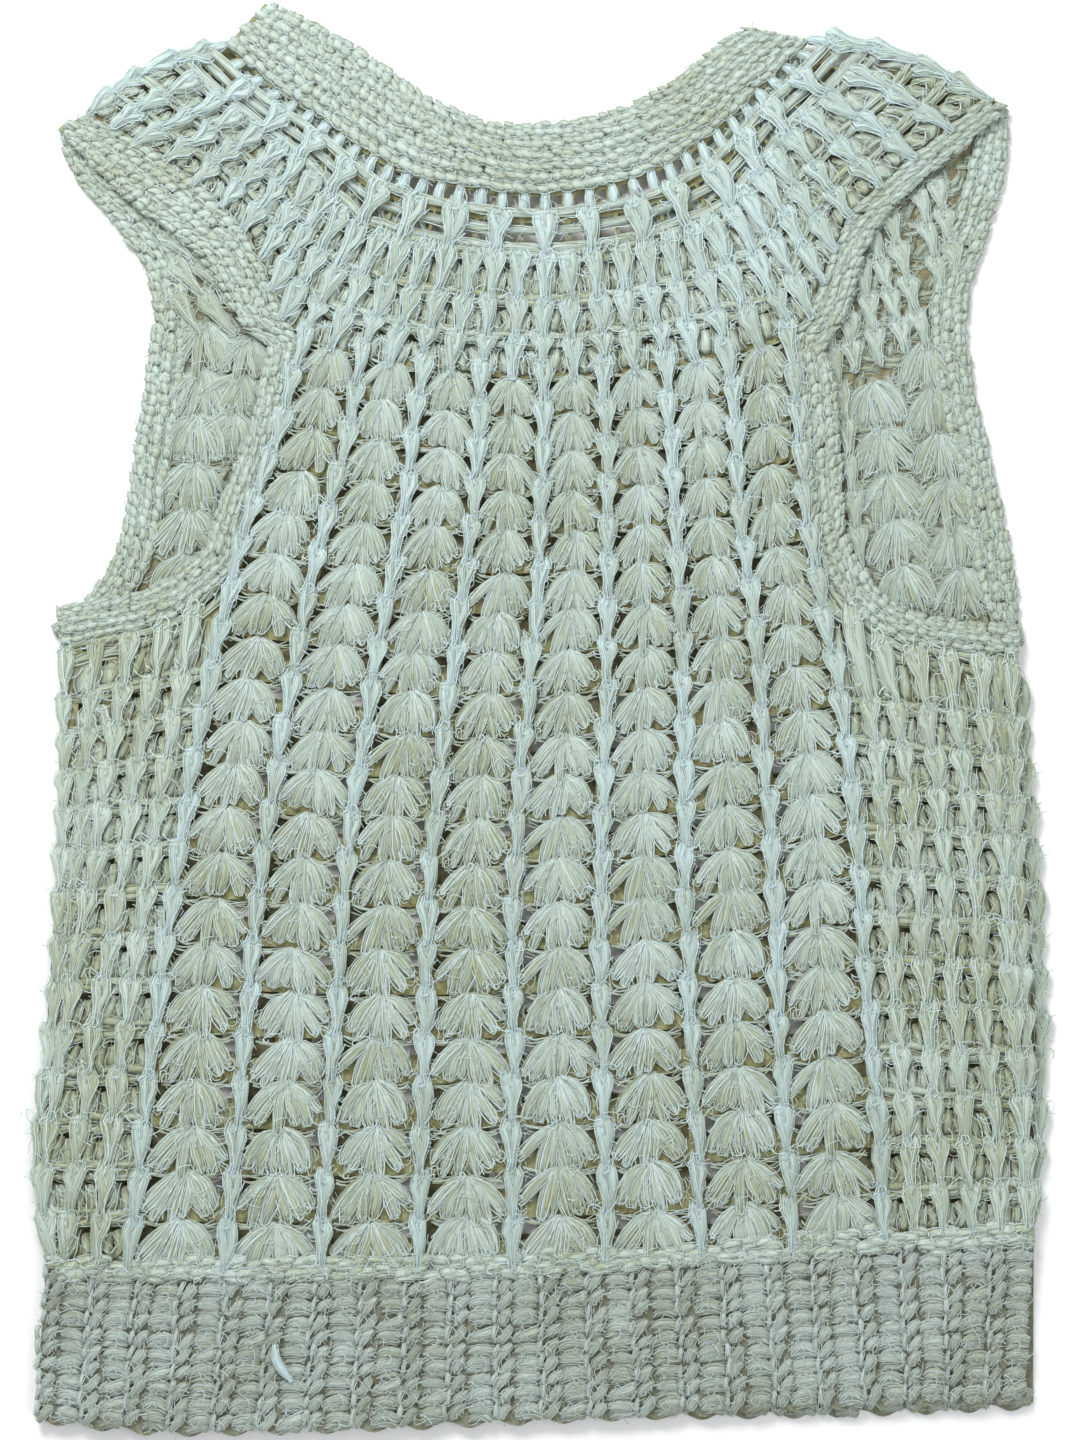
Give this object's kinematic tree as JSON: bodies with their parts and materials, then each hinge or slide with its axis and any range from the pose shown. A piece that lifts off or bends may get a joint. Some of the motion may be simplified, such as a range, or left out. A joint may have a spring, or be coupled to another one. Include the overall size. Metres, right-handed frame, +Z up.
{
  "type": "crochet vest",
  "caption": "Sleeveless crochet vest laid flat on its front: round yoke of raised posts, openwork shell-stitch body, plain neck and armhole bands, and a ribbed hem.",
  "frame": {"origin": "on the surface that the vest lies on, under the middle of its bounding box", "axes": "+X towards the right of the back as it is seen from above, +Y towards the neck, +Z up through the cloth, away from the surface"},
  "size_m": [0.3944, 0.5594, 0.0075],
  "materials": {
    "back_stitches": "fluffy pale cream yarn in raised posts and shell stitches, matt with a silky fibre sheen",
    "front_stitches": "the same pale cream yarn, seen through the back's gaps and in the armholes",
    "back_rib": "pale cream yarn in sideways crochet rib",
    "front_rib": "pale cream yarn in sideways crochet rib, in the upper layer's shade",
    "back_bands": "pale cream yarn in close rows of single crochet",
    "front_bands": "pale cream yarn in close rows of single crochet"
  },
  "bodies": {
    "root": {"back_panel": "back_stitches", "front_panel": "front_stitches", "hem_rib_back": "back_rib", "hem_rib_front": "front_rib", "neck_band_back": "back_bands", "neck_band_front": "front_bands", "armhole_band_left_back": "back_bands", "armhole_band_left_front": "front_bands", "armhole_band_right_back": "back_bands", "armhole_band_right_front": "front_bands"}
  },
  "joints": []
}
